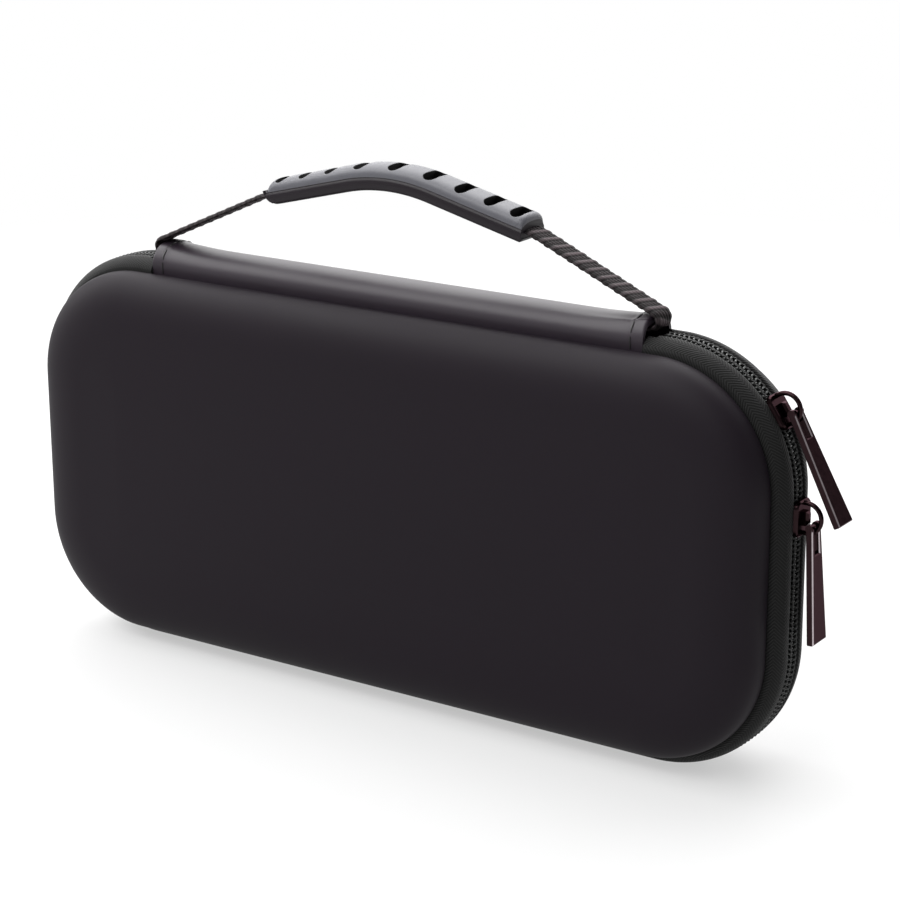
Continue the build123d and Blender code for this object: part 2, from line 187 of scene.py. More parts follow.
mixed = add(tree, "MixShader", {0: share.outputs[0], 1: shader.outputs[0], 2: glow.outputs[0]})
tree.links.new(mixed.outputs[0], tree.nodes["Material Output"].inputs["Surface"])
floor_mesh.materials.append(floor_paper)
print("floor", 2 * FLOOR_HALF, "m wide")

# %% Lamps
AIM = Vector((0.0, 0.0, 70.0)) * MM
SKY_STRENGTH = 0.35


def soft_lamp(name, place, size, radiance):
    """A rectangular lamp that faces the case, as bright as a white sheet of that radiance."""
    lamp = bpy.data.lights.new(name, "AREA")
    lamp.shape = "RECTANGLE"
    lamp.size, lamp.size_y = size
    lamp.energy = radiance * math.pi * size[0] * size[1]
    holder = bpy.data.objects.new(name, lamp)
    holder.location = place
    holder.rotation_mode = "QUATERNION"
    holder.rotation_quaternion = (AIM - Vector(place)).to_track_quat("-Z", "Y")
    bpy.context.scene.collection.objects.link(holder)


soft_lamp("overhead_lamp", (-0.50, 0.50, 1.50), (2.2, 1.5), 4.8)
soft_lamp("rear_lamp", (-0.40, 1.60, 0.74), (3.0, 1.35), 2.5)
soft_lamp("front_lamp", (-0.45, -1.00, 1.30), (1.7, 0.8), 6.0)
soft_lamp("left_lamp", (-1.2, -0.1, 0.6), (0.8, 0.9), 3.0)
world = bpy.data.worlds.new("studio")
world.use_nodes = True
sky = world.node_tree.nodes["Background"]
sky.inputs["Color"].default_value = linear("#ffffff")
sky.inputs["Strength"].default_value = SKY_STRENGTH
bpy.context.scene.world = world
bpy.context.scene.view_settings.view_transform = "Standard"

# %% [markdown]
# ## Skins between rows of points
# Most pieces here are a section carried along a line: a shell is rings, a tape is a section that runs round
# the case, a strap is a section along an arc. So one function joins equal rows of points with quads, a second
# makes a piece of points in millimetres, and a third lets it ride on its CAD body and stand for its CAD node.

# %% Mesh helpers
SHARP_DEG = 48.0     # edges that turn by more stay sharp
WELD_M = 1e-6


def skin(rows, around=True, joined=False, caps=True):
    """Points and faces between equal rows. Around closes each row, joined ties the last row to the first."""
    rows = np.asarray(rows, float)
    count, width = rows.shape[:2]
    faces = []
    for r in range(count if joined else count - 1):
        a, b = r * width, (r + 1) % count * width
        for c in range(width if around else width - 1):
            d = (c + 1) % width
            faces.append((a + c, a + d, b + d, b + c))
    if caps and around and not joined:
        faces.append(tuple(range(width))[::-1])
        faces.append(tuple(range((count - 1) * width, count * width)))
    return rows.reshape(-1, 3), faces


def make(name, points, faces, finishes, kinds=None, thread=None, weld=False):
    """A mesh object from points in millimetres. Thread holds each point's place along and across a weave."""
    mesh = bpy.data.meshes.new(name)
    mesh.from_pydata(np.asarray(points, float) * MM, [], faces)
    if thread is not None:
        layer = mesh.attributes.new("thread", "FLOAT_VECTOR", "POINT")
        layer.data.foreach_set("vector", np.asarray(thread, np.float32).ravel())
    for finish in finishes:
        mesh.materials.append(finish)
    if kinds is not None:
        mesh.polygons.foreach_set("material_index", kinds)
    shape = bmesh.new()
    shape.from_mesh(mesh)
    if weld:
        bmesh.ops.remove_doubles(shape, verts=shape.verts, dist=WELD_M)
    bmesh.ops.recalc_face_normals(shape, faces=shape.faces)
    shape.to_mesh(mesh)
    shape.free()
    mesh.polygons.foreach_set("use_smooth", [True] * len(mesh.polygons))
    mesh.set_sharp_from_angle(angle=math.radians(SHARP_DEG))
    piece = bpy.data.objects.new(name, mesh)
    bpy.context.scene.collection.objects.link(piece)
    print(name, len(mesh.polygons), "faces")
    return piece


def join(parts):
    """Points and faces of several skins as one."""
    points, faces, start = [], [], 0
    for part_points, part_faces in parts:
        points.append(part_points)
        faces += [tuple(i + start for i in face) for face in part_faces]
        start += len(part_points)
    return np.concatenate(points), faces


def settle(piece, body, node):
    """The piece rides on a body and stands for a CAD node."""
    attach(piece, body)
    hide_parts(node)


# %% [markdown]
# ## Sizes from the frame
# The frame already knows how large the case is, so the main sizes are read from the CAD nodes' boxes. Only
# what a box can't tell is written down again, such as the corner radius. Everything that runs round the case
# is drawn as a place across it and a height over its outline.

# %% Case sizes
def span(node):
    """Lowest and highest corner of a CAD node, in millimetres."""
    low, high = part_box(node)
    return np.array(low) / MM, np.array(high) / MM


tape_low, tape_high = span("front_zip_tape")
shell_low, shell_high = span("front_shell")
HALF_W, CASE_H = tape_high[0], tape_high[2]
SEAM_Y, SEAM_INSET = -tape_low[1], HALF_W - shell_high[0]
FACE_Y, RIM_Y = -shell_low[1], -shell_high[1]
CORNER_R = 38.7
WALL = 4.0
RIM_INSET = SEAM_INSET + 1.2   # the sewn rim stands this much further in than the cover's edge
HALVES = ((-1, "front"), (1, "rear"))
CORNER_X, LOW_Z, HIGH_Z = HALF_W - CORNER_R, CORNER_R, CASE_H - CORNER_R
print("case", 2 * HALF_W, "x", CASE_H, "mm, seam at", SEAM_Y, "mm, face at", FACE_Y, "mm")

# %% [markdown]
# ## Leather cloth
# The outside is polyurethane leather cloth: a knitted backing with a thin coat that is rolled smooth, then
# moulded over foam. The coat is nearly black, and gives broad soft highlights and a grain that shows only
# close up. A cell pattern makes the grain, and slow noise lets the gloss wander a little.

# %% Leather cloth finish
GRAIN_MM = 0.5       # real grain is nearer 0.2 mm, drawn coarser so that it shows
WANDER_MM = 40.0
GLOSS_CHANGE = 0.05


def leather_cloth(name, dark, pale, roughness, shine):
    """Smooth rolled leather cloth, with grain and a slow change of gloss."""
    finish, tree, shader = begin_finish(name, {"IOR": 1.45, "Specular IOR Level": shine})
    place = add(tree, "TexCoord", {}).outputs["Object"]
    grain = add(tree, "TexVoronoi", {"Vector": place, "Scale": 1 / (GRAIN_MM * MM)}, feature="SMOOTH_F1")
    wander = noise(tree, WANDER_MM, 3.0)
    colour_and_relief(tree, shader, wander, dark, pale, 0.06, 0.06, grain.outputs["Distance"])
    vary_gloss(tree, shader, wander, roughness - GLOSS_CHANGE, roughness + GLOSS_CHANGE)
    return finish


shell_leather = leather_cloth("polyurethane_leather_cloth_moulded", "#0f0810", "#130b14", 0.60, 0.20)
# The spine's cloth is painted paler than the shells' cloth: painted light for its lit top.
spine_leather_painted_light = leather_cloth("polyurethane_leather_cloth_rolled_painted_light", "#1c141d", "#241a25", 0.52, 0.58)

# %% [markdown]
# ## Lining
# Inside, the foam is faced with brushed tricot, a knit whose loops are raised to a short nap. Nap scatters
# light sideways, so it has sheen and no clear highlight. Fine noise breaks up its colour.

# %% Brushed lining finish
NAP_MM = 0.7

brushed_lining, tree, shader = begin_finish(
    "polyester_tricot_brushed", {"Roughness": 0.95, "IOR": 1.5, "Sheen Weight": 0.35, "Sheen Roughness": 0.5})
colour_and_relief(tree, shader, noise(tree, NAP_MM, 4.0), "#161618", "#2c2c30", 0.4, 0.2)

# %% [markdown]
# ## Moulded shells
# Each shell is foam pressed between hot tools with its cover, so its edge is a soft curve that tightens
# towards the seam, and its face is very slightly crowned. Rings round the outline follow one profile: from
# the middle of the lining, over the rim, round the rolled seam edge and across to the middle of the face. A
# superellipse gives an edge that never shows where the curve ends, which a plain arc would.

# %% Shell rings
CORNER_STEPS = 26
RING_STEP = 4.0


def ring_stations():
    """Centres (x, z) and outward directions (x, z) all round the case outline."""
    spots = []
    corners = ((CORNER_X, HIGH_Z), (-CORNER_X, HIGH_Z), (-CORNER_X, LOW_Z), (CORNER_X, LOW_Z))
    for i, (x, z) in enumerate(corners):
        for turn in np.radians(np.linspace(90 * i, 90 * i + 90, CORNER_STEPS + 1)):
            spots.append((x, z, math.cos(turn), math.sin(turn)))
        next_x, next_z = corners[(i + 1) % 4]
        steps = round((abs(next_x - x) + abs(next_z - z)) / RING_STEP)
        for part in np.arange(1, steps) / steps:
            between = (x + (next_x - x) * part, z + (next_z - z) * part)
            spots.append((*between, math.cos(turn), math.sin(turn)))
    return np.array(spots)


STATIONS = ring_stations()


def ring(inset, y):
    """The case outline moved in by inset, at depth y."""
    reach = CORNER_R - inset
    x = STATIONS[:, 0] + STATIONS[:, 2] * reach
    z = STATIONS[:, 1] + STATIONS[:, 3] * reach
    return np.stack([x, np.full_like(x, y), z], axis=1)


print("ring points", len(STATIONS))

# %% Shell profile and meshes
EDGE_RUN = 20.5      # how far in from the seam the soft edge reaches
EDGE_POWER = 2.4     # of the superellipse, where 2 is an ellipse
FACE_CROWN = 0.4
ROLL_R = 0.9         # rolled edge of the cover at the seam
LINING_R = 7.0
MIDDLE_INSET = 38.0  # the last ring, just short of the corners' own centres


def quarter(steps):
    """Turns from 0 to a right angle."""
    return np.linspace(0, math.pi / 2, steps)


def rounding(inset, y, radius, rise, steps):
    """A quarter round that ends at an inset, and rises or falls by its radius from depth y."""
    turns = quarter(steps)
    return [(inset + radius * (1 - math.sin(t)), y + rise * radius * (1 - math.cos(t))) for t in turns]


inner_inset, floor_y = SEAM_INSET + WALL, FACE_Y - WALL
profile = [(MIDDLE_INSET, floor_y), *rounding(inner_inset, floor_y, LINING_R, -1, 9), (inner_inset, RIM_Y)]
lining_rings = len(profile)
profile += [(RIM_INSET, RIM_Y), (RIM_INSET, SEAM_Y), *rounding(SEAM_INSET, SEAM_Y, ROLL_R, 1, 6)]
edge_depth = FACE_Y - FACE_CROWN - SEAM_Y - ROLL_R
for t in quarter(26)[1:]:
    run = EDGE_RUN * (1 - math.cos(t) ** (2 / EDGE_POWER))
    profile.append((SEAM_INSET + run, SEAM_Y + ROLL_R + edge_depth * math.sin(t) ** (2 / EDGE_POWER)))
crown_run = MIDDLE_INSET - SEAM_INSET - EDGE_RUN
for t in quarter(6)[1:]:
    profile.append((MIDDLE_INSET - crown_run * (1 - math.sin(t)), FACE_Y - FACE_CROWN * (1 - math.sin(t))))

for side, half in HALVES:
    points, faces = skin([ring(inset, side * y) for inset, y in profile])
    row_kinds = [int(r < lining_rings - 1) for r in range(len(profile) - 1)]
    kinds = np.repeat(row_kinds, len(STATIONS)).tolist() + [1, 0]
    shell = make(half + "_moulded_shell", points, faces, [shell_leather, brushed_lining], kinds)
    settle(shell, half + "_half", half + "_shell")

# %% [markdown]
# ## The way round the zip
# Tape, coils and stitches all run from one end of the spine, down, along the bottom and up to the other end.
# One function gives the point and the outward direction at any distance along that way, so that each of
# them only needs its own section.

# %% Zip path
spine_low, spine_high = span("spine_panel")
SPINE_HALF = spine_high[0]
ZIP_START_X = SPINE_HALF + 0.2   # clear of the spine's end
ARC_L = math.pi / 2 * CORNER_R
TOP_L, SIDE_L, BASE_L = CORNER_X - ZIP_START_X, HIGH_Z - LOW_Z, 2 * CORNER_X
ZIP_L = 2 * TOP_L + 4 * ARC_L + 2 * SIDE_L + BASE_L


def zip_points(along, across, height):
    """Points at distances along the zip, across it and over the case outline."""
    along, across, height = np.broadcast_arrays(np.asarray(along, float), across, height)
    mirrored = along > ZIP_L / 2
    run = np.where(mirrored, ZIP_L - along, along) - TOP_L
    bent = np.clip(run, 0, ARC_L) + np.clip(run - ARC_L - SIDE_L, 0, ARC_L)
    turn = math.pi / 2 - bent / CORNER_R
    drop = np.clip(run - ARC_L, 0, SIDE_L)
    inward = np.clip(run - 2 * ARC_L - SIDE_L, 0, None)
    ahead = np.clip(-run, 0, None)
    x = CORNER_X - inward - ahead + np.cos(turn) * (CORNER_R + height)
    z = HIGH_Z - drop + np.sin(turn) * (CORNER_R + height)
    return np.stack([np.where(mirrored, -x, x), across, z], axis=-1)


print("zip length", round(ZIP_L), "mm")

# %% [markdown]
# ## Zip tape
# Zip tape is polyester, woven in a herringbone: slanting ridges that turn back at each column. Here it is
# sewn to the shell face down, folded back and arched out to the chain, which hides the stitches. The weave is
# drawn from the distances along and across the tape that the mesh carries, so it follows the corners.

# %% Woven tape finish
TWILL_MM = 1.0
TWILL_COLUMN_MM = 3.0
TWILL_SHARE = 0.55   # how much of the pattern the ridges make, beside the loose fibres
FIBRES_PER_MM = 1.8

tape_weave, tree, shader = begin_finish("polyester_zip_tape_herringbone_woven", {
    "Roughness": 0.8, "IOR": 1.5, "Specular IOR Level": 0.2, "Sheen Weight": 0.12, "Sheen Roughness": 0.4})
thread = thread_place(tree)
place = add(tree, "SeparateXYZ", {0: thread}).outputs
slant = add(tree, "Math", {0: place["Y"], 1: TWILL_COLUMN_MM}, operation="PINGPONG")
shifted = add(tree, "Math", {0: place["X"], 1: slant.outputs[0]}, operation="ADD")
twill = wave(tree, shifted.outputs[0], TWILL_MM)
fibre = add(tree, "TexNoise", {"Vector": thread, "Scale": FIBRES_PER_MM, "Detail": 4.0, "Roughness": 0.7})
ridge = add(tree, "Math", {0: twill, 1: TWILL_SHARE, 2: fibre.outputs[0]}, operation="MULTIPLY_ADD")
colour_and_relief(tree, shader, ridge.outputs[0], "#010101", "#1c1c1c", 0.6, 0.16)

# %% Tape meshes
TAPE_ARCH_Y, TAPE_ARCH_R, TAPE_T = 3.6, 5.6, 0.9
HEM_Y, HEM_TOP = 5.6, 1.0 - RIM_INSET
BED_IN_Y, BED_OUT_Y, BED_TOP, BED_T = 0.6, 2.9, -2.65, 0.6
TURN_IN_R = TAPE_ARCH_Y - BED_OUT_Y
ARCH_FOOT_DEG, ARCH_START_DEG = 62, -15   # where the arch meets the hem, and where it turns in to the bed
LIP_HEIGHT = -1.8
UNDER_DEG = (20, 68)                      # the arch on the tape's underside
HEM_GAP, HEM_LEAN = 0.1, 0.05             # between the folded edge and the shell
ROOM_L, ROOM_Y, ROOM_HEIGHT = 2.55, 4.95, -1.65   # dip under the handle's webbing
ROOM_EDGE = 0.05
TAPE_STEP = 1.25


def arc(y, height, radius, start_deg, end_deg, steps):
    """Points (across, height) on an arc, angles measured from straight up."""
    turns = np.radians(np.linspace(start_deg, end_deg, steps))
    return [(y + radius * math.sin(t), height + radius * math.cos(t)) for t in turns]


def lengths(line):
    """Distances from a line's first point to each of its points."""
    return np.concatenate([[0], np.cumsum(np.linalg.norm(np.diff(line, axis=0), axis=1))])


def weave(along, across):
    """Thread places for points at one distance along and many across, or the other way round."""
    along, across = np.broadcast_arrays(np.asarray(along, float), across)
    return np.stack([along, across, np.zeros(along.shape)], axis=1)


tape_section = np.array([
    (SEAM_Y - HEM_GAP, -RIM_INSET), (SEAM_Y - HEM_LEAN, HEM_TOP),
    *arc(TAPE_ARCH_Y, -TAPE_ARCH_R, TAPE_ARCH_R, ARCH_FOOT_DEG, 0, 22),
    *arc(TAPE_ARCH_Y, -TURN_IN_R, TURN_IN_R, ARCH_START_DEG, -90, 6),
    (BED_OUT_Y, LIP_HEIGHT), (BED_OUT_Y, BED_TOP), (BED_IN_Y, BED_TOP),
    (BED_IN_Y, BED_TOP - BED_T), (BED_OUT_Y + TAPE_T, BED_TOP - BED_T),
    *arc(TAPE_ARCH_Y, -TAPE_ARCH_R, TAPE_ARCH_R - TAPE_T, *UNDER_DEG, 9),
    (HEM_Y, HEM_TOP), (HEM_Y, -RIM_INSET)])
tape_across = lengths(tape_section)
tape_ends = np.array([0, ROOM_L / 2, ROOM_L - ROOM_EDGE])
tape_rows = np.arange(ROOM_L + ROOM_EDGE, ZIP_L - ROOM_L, TAPE_STEP)
tape_rows = np.concatenate([tape_ends, tape_rows, ZIP_L - tape_ends[::-1]])

for side, half in HALVES:
    rows, thread = [], []
    for along in tape_rows:
        height = tape_section[:, 1].copy()
        if min(along, ZIP_L - along) < ROOM_L:
            height = np.where(tape_section[:, 0] < ROOM_Y, np.minimum(height, ROOM_HEIGHT), height)
        rows.append(zip_points(along, side * tape_section[:, 0], height))
        thread.append(weave(along, tape_across))
    points, faces = skin(rows)
    tape = make(half + "_woven_tape", points, faces, [tape_weave], thread=np.concatenate(thread))
    settle(tape, half + "_half", half + "_zip_tape")

# %% [markdown]
# ## Zip coils
# A coil zip has no cut teeth: each side is one nylon monofilament wound into a flat spiral, and the loops of
# one side slip between the loops of the other. So each coil here really is a spiral, and one is half a pitch
# behind the other. A sewn thread holds every loop to the tape and shows as a line of small humps.

# %% Nylon and thread finishes
def drawn_thread(name, dark, pale, roughness, fibre_mm):
    """A thread or filament, whose colour and height change a little from place to place."""
    finish, tree, shader = begin_finish(name, {"Roughness": roughness, "IOR": 1.53})
    colour_and_relief(tree, shader, noise(tree, fibre_mm, 2.0), dark, pale, 0.15, 0.05)
    return finish


coil_nylon = drawn_thread("nylon_monofilament_wound", "#1c1d1d", "#363837", 0.34, 1.2)
sewing_thread = drawn_thread("polyester_sewing_thread_twisted", "#222222", "#3c3c3c", 0.6, 0.4)
hem_thread = drawn_thread("polyester_hem_thread_waxed", "#080607", "#141113", 0.5, 0.4)

# %% Wound coils
COIL_PITCH = 1.5
COIL_MID_Y, COIL_HALF_Y = 1.05, 1.35
COIL_MID_H, COIL_HALF_H = -1.15, 0.85
WIRE_R = 0.30
TURN_STEPS, WIRE_SIDES = 12, 6
COIL_END = 2.8       # bare tape at each end of the zip
STITCH_Y, STITCH_H, STITCH_R, STITCH_SIDES = 1.45, -0.08, 0.17, 5
STITCH_HUMP = 0.12
STEEP = 0.9          # a tube that runs this much along Y takes its rings from Z


def tube(line, radius, sides):
    """A closed tube along a line of points, with its rings square to the line."""
    ahead = np.gradient(line, axis=0)
    ahead /= np.linalg.norm(ahead, axis=1)[:, None]
    lift = np.where(np.abs(ahead[:, 1:2]) > STEEP, [[0.0, 0.0, 1.0]], [[0.0, 1.0, 0.0]])
    out = np.cross(ahead, lift)
    out /= np.linalg.norm(out, axis=1)[:, None]
    other = np.cross(ahead, out)
    turns = (np.arange(sides) / sides * 2 * math.pi)[:, None]
    return skin(line[:, None] + radius * (np.cos(turns) * out[:, None] + np.sin(turns) * other[:, None]))


turn_count = int((ZIP_L - 2 * COIL_END) / COIL_PITCH)
winding = np.arange(turn_count * TURN_STEPS + 1) / TURN_STEPS
for side, half in HALVES:
    lag = 0.5 * COIL_PITCH if side < 0 else 0.0
    along = COIL_END + lag + winding * COIL_PITCH
    across = side * (COIL_MID_Y + COIL_HALF_Y * np.cos(2 * math.pi * winding))
    height = COIL_MID_H + COIL_HALF_H * np.sin(2 * math.pi * winding)
    wire = tube(zip_points(along, across, height), WIRE_R, WIRE_SIDES)
    coil = make(half + "_wound_coil", *wire, [coil_nylon])
    settle(coil, half + "_half", half + "_zip_coil")
    hump = STITCH_H + STITCH_HUMP * np.cos(2 * math.pi * winding)
    seam = tube(zip_points(along, side * STITCH_Y, hump)[::2], STITCH_R, STITCH_SIDES)
    stitch = make(half + "_coil_stitching", *seam, [sewing_thread])
    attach(stitch, half + "_half")

# %% [markdown]
# ## Spine panel
# The panel across the top is leather cloth, sewn into both shells, with a turned hem at each end. It is the
# case's hinge, so it arches loosely: it rides high where the handle lifts its ends and sags between them.
# When the lid opens, its crest turns with the handle that is sewn under it, and its flanks fold between the
# crest and the shells. So it is made as three strips that share their edges.

# %% Spine section
SPINE_RISE = spine_high[2] - CASE_H + SEAM_INSET
SPINE_T = 1.2
SPINE_STEPS = 128
SPINE_POWER = 2.5     # a little squarer than an ellipse: a flat top and upright sides
TUCK, TUCK_RISE = 0.8, 0.28   # how far its seam edge is tucked in, and over what share of its rise
SPINE_SAG, SPINE_LIFT, LIFT_L = 0.9, 1.1, 12.0
SEAM_GAP, SEAM_DIP = 0.1, 0.9   # it starts beside the shell's seam edge and below it
HEM_L, HEM_THICK, HEM_STEP = 4.6, 0.5, 0.25
STITCH_IN, STITCH_DENT, STITCH_W = 3.9, 0.25, 0.4
CUT_DROP, CUT_L = 0.6, 0.7      # its cut end is rounded down
RELIEF_RAMP = 3.0               # hem and thickness fade in over the first third of the rise
CREASE_AT, CREASE_W, CREASE_L = 0.30, 0.20, 17.0   # turns in radians from the crest
PLEAT_AT, PLEAT_W = 0.62, 0.20
CREASES = {-1: (0.12, 0.08), 1: (0.38, 0.22)}      # depth of the crease and height of the pleat at each end
FOLD_Y, FOLD_END = 5.6, 7.7   # the crest strip ends at the first, and the flanks' folds at the second


def bell(value, middle, width):
    """A smooth hump of height 1."""
    return np.exp(-((value - middle) / width) ** 2)


def spine_row(x, thick):
    """One line across the panel, from the front seam to the rear seam, thick below its outer face."""
    end = SPINE_HALF - abs(x)
    hem = HEM_THICK * (1 - 1 / (1 + math.exp(-(end - HEM_L) / HEM_STEP)))
    dent = STITCH_DENT * bell(end, STITCH_IN, STITCH_W)
    cut = CUT_DROP * max(0.0, 1 - end / CUT_L) ** 2
    turns = np.linspace(math.pi, 0, SPINE_STEPS + 1)
    swell, tilt = np.clip(np.sin(turns), 0, 1), np.abs(turns - math.pi / 2)
    lift = SPINE_LIFT * bell(end, 0, LIFT_L) - SPINE_SAG
    depth, pleat = CREASES[1 if x > 0 else -1]
    crease = pleat * bell(tilt, PLEAT_AT, PLEAT_W) - depth * bell(tilt, CREASE_AT, CREASE_W)
    rise = SPINE_RISE + lift * swell + crease * bell(end, 0, CREASE_L)
    proud = (hem - dent - cut - thick) * np.clip(swell * RELIEF_RAMP, 0, 1)
    tuck = TUCK * bell(swell, 0, TUCK_RISE)
    wide = (SEAM_Y - SEAM_GAP - tuck) * np.abs(np.cos(turns)) ** (2 / SPINE_POWER)
    wide -= thick * np.clip((wide - FOLD_Y) / (SEAM_Y - FOLD_Y), 0, 1)
    y = np.sign(np.cos(turns)) * wide
    z = CASE_H - SEAM_INSET - SEAM_DIP + (rise + SEAM_DIP) * swell ** (2 / SPINE_POWER) + proud
    return np.stack([np.full_like(y, x), y, z], axis=1)


# %% Spine strips
MIDDLE_ROWS = 90
END_ROWS = np.array([   # distances from an end, close together at the hem and its stitches
    0, 0.25, 0.5, 0.8, 1.2, 1.8, 2.4, 3.0, 3.4, 3.7, 4.0, 4.3, 4.7, 5.2, 6.0, 7.0, 8.5, 10.0])

middle = np.linspace(-SPINE_HALF + END_ROWS[-1], SPINE_HALF - END_ROWS[-1], MIDDLE_ROWS)[1:-1]
spine_x = np.concatenate([-SPINE_HALF + END_ROWS, middle, SPINE_HALF - END_ROWS[::-1]])
middle_row = spine_row(0.0, 0.0)
front_fold = int(np.argmin(np.abs(middle_row[:, 1] + FOLD_Y)))
rear_fold = SPINE_STEPS - front_fold
STRIPS = {"front": (0, front_fold), "crest": (front_fold, rear_fold), "rear": (rear_fold, SPINE_STEPS)}
fold_y = -middle_row[front_fold, 1]


def follow_lid(piece):
    """Bakes a piece of the spine's placement into its mesh."""
    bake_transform(piece)


leather, cut_width = {}, {}
for strip, (low, high) in STRIPS.items():
    rows = []
    for x in spine_x:
        outer, inner = (spine_row(x, thick)[low:high + 1] for thick in (0.0, SPINE_T))
        rows.append(np.concatenate([outer, inner[::-1]]))
    points, faces = skin(rows, caps=False)
    width = len(rows[0])
    for first in (0, (len(rows) - 1) * width):
        last = first + width - 1
        faces += [(first + i, first + i + 1, last - 1 - i, last - i) for i in range(high - low)]
    leather[strip] = make("leather_spine_" + strip, points, faces, [spine_leather_painted_light])
    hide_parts("spine_panel")
    follow_lid(leather[strip])
    cut_width[strip] = float(lengths(middle_row[low:high + 1])[-1])
    print(strip, "strip", round(cut_width[strip], 1), "mm wide")

# %% Hem stitches
HEM_STITCH_L, HEM_STITCH_GAP, HEM_THREAD_R = 3.4, 1.0, 0.25
FIRST_STITCH = 1.2
STITCH_PROUD, STITCH_DIVE = 0.16, 0.3   # height of a stitch's middle, and how far its ends dive below that
STITCH_POINTS = 9

stitches = {strip: [] for strip in STRIPS}
for side in (-1, 1):
    line = spine_row(side * (SPINE_HALF - STITCH_IN), 0.0)
    length = lengths(line)
    at = FIRST_STITCH
    while at + HEM_STITCH_L < length[-1]:
        stations = np.linspace(at, at + HEM_STITCH_L, STITCH_POINTS)
        stitch = np.stack([np.interp(stations, length, line[:, k]) for k in range(3)], axis=1)
        stitch[:, 2] += STITCH_PROUD - STITCH_DIVE * np.linspace(-1, 1, STITCH_POINTS) ** 4
        middle_y = stitch[STITCH_POINTS // 2, 1]
        strip = "crest" if abs(middle_y) < fold_y else "front" if middle_y < 0 else "rear"
        stitches[strip].append(tube(stitch, HEM_THREAD_R, WIRE_SIDES))
        at += HEM_STITCH_L + HEM_STITCH_GAP
for strip, parts in stitches.items():
    follow_lid(make("spine_hem_stitching_" + strip, *join(parts), [hem_thread]))

# %% [markdown]
# ## Handle webbing
# The handle is a narrow woven webbing. Its weft lies in slanting bars, every second one broken up by the
# warp, and its edges are scalloped where the weft turns back. The relief is modelled, because it shows at the
# webbing's edges, and the same numbers paint the yarn pale on its crowns, as painted light, and dark in its
# gaps and at its edges, as painted shade.

# %% Webbing finish
YARN_MM = 0.42
YARN_SHARE = 0.12    # how much a single yarn adds to the height of its row

webbing_yarn, tree, shader = begin_finish(
    "polypropylene_webbing_woven", {"Roughness": 0.7, "IOR": 1.49, "Specular IOR Level": 0.15})
place = add(tree, "SeparateXYZ", {0: thread_place(tree)}).outputs
yarn = wave(tree, place["Y"], YARN_MM)
level = add(tree, "Math", {0: yarn, 1: YARN_SHARE, 2: place["Z"]}, operation="MULTIPLY_ADD")
# Painted light and shade: the thread's third value is pale on the yarn's crowns and dark in its gaps and at
# its edges.
colour_and_relief(tree, shader, level.outputs[0], "#020101", "#544a4d", 0.4, 0.12)

# %% Webbing path
web_low, web_high = span("handle_webbing")
WEB_HALF_W, WEB_T = web_high[1], 1.3
GRIP_HALF, GRIP_BEND_R, MOUTH_R, WEB_BEND_R, TAB_L = 45.0, 60.0, 20.0, 2.0, 13.8
GRIP_SLOPE, WEB_SLOPE = math.radians(14.0), math.radians(24.0)
handle_top, tab_z = web_high[2] - WEB_T / 2, web_low[2] + WEB_T / 2

grip_run = (GRIP_HALF - GRIP_BEND_R * math.sin(GRIP_SLOPE)) / math.cos(GRIP_SLOPE)
fall = GRIP_BEND_R * (1 - math.cos(GRIP_SLOPE)) + grip_run * math.sin(GRIP_SLOPE)
fall += MOUTH_R * (math.cos(GRIP_SLOPE) - math.cos(WEB_SLOPE)) + WEB_BEND_R * (1 + math.cos(WEB_SLOPE))
web_run = (handle_top - tab_z - fall) / math.sin(WEB_SLOPE)
BENDS = (    # length and radius of each bend from the middle of the handle, and the straight length after it
    (GRIP_BEND_R * GRIP_SLOPE, GRIP_BEND_R, grip_run),
    (MOUTH_R * (WEB_SLOPE - GRIP_SLOPE), MOUTH_R, web_run),
    (WEB_BEND_R * (math.pi - WEB_SLOPE), WEB_BEND_R, TAB_L))
WEB_HALF_L = sum(bend + run for bend, radius, run in BENDS)


def webbing_points(along, across, height):
    """Points at distances along the webbing from its top, across it and over its middle line."""
    along, across, height = np.broadcast_arrays(np.asarray(along, float), across, height)
    left, turn, x = np.abs(along), np.zeros(along.shape), np.zeros(along.shape)
    z = np.full(along.shape, handle_top)
    for bend, radius, run in BENDS:
        turned = turn + np.clip(left, 0, bend) / radius
        straight = np.clip(left - bend, 0, run)
        x = x + radius * (np.sin(turned) - np.sin(turn)) + straight * np.cos(turned)
        z = z + radius * (np.cos(turned) - np.cos(turn)) - straight * np.sin(turned)
        left, turn = np.clip(left - bend - run, 0, None), turned
    x, z = x + height * np.sin(turn), z + height * np.cos(turn)
    return np.stack([np.where(along < 0, -x, x), across, z], axis=-1)


print("webbing length", round(2 * WEB_HALF_L), "mm")

# %% Webbing mesh
ROW_MM, ROW_SLANT, COLUMN_MM = 2.03, -0.27, 1.2
YARN_H, LOFT, BULGE, SCALLOP = 0.38, 0.45, 0.35, 0.4
WEB_ACROSS, WEB_STEP = 44, 0.28
WHOLE_ROWS, COLUMNS = (-0.3, 0.3), (-0.6, 0.4)   # cosines over which rows and columns of yarn fade in
COLUMN_DIP, BROKEN_H, BROKEN_EDGE = 0.25, 0.6, 0.4   # broken rows are lower, and reach less far out
GAP_SHADE_POWER, EDGE_SHADE = 2.2, 0.9                 # painted shade in the weave's gaps and at its edges
EDGE_ROUND = 6


def eased(value, low, high):
    """A soft step from 0 at low to 1 at high."""
    part = np.clip((value - low) / (high - low), 0, 1)
    return part * part * (3 - 2 * part)


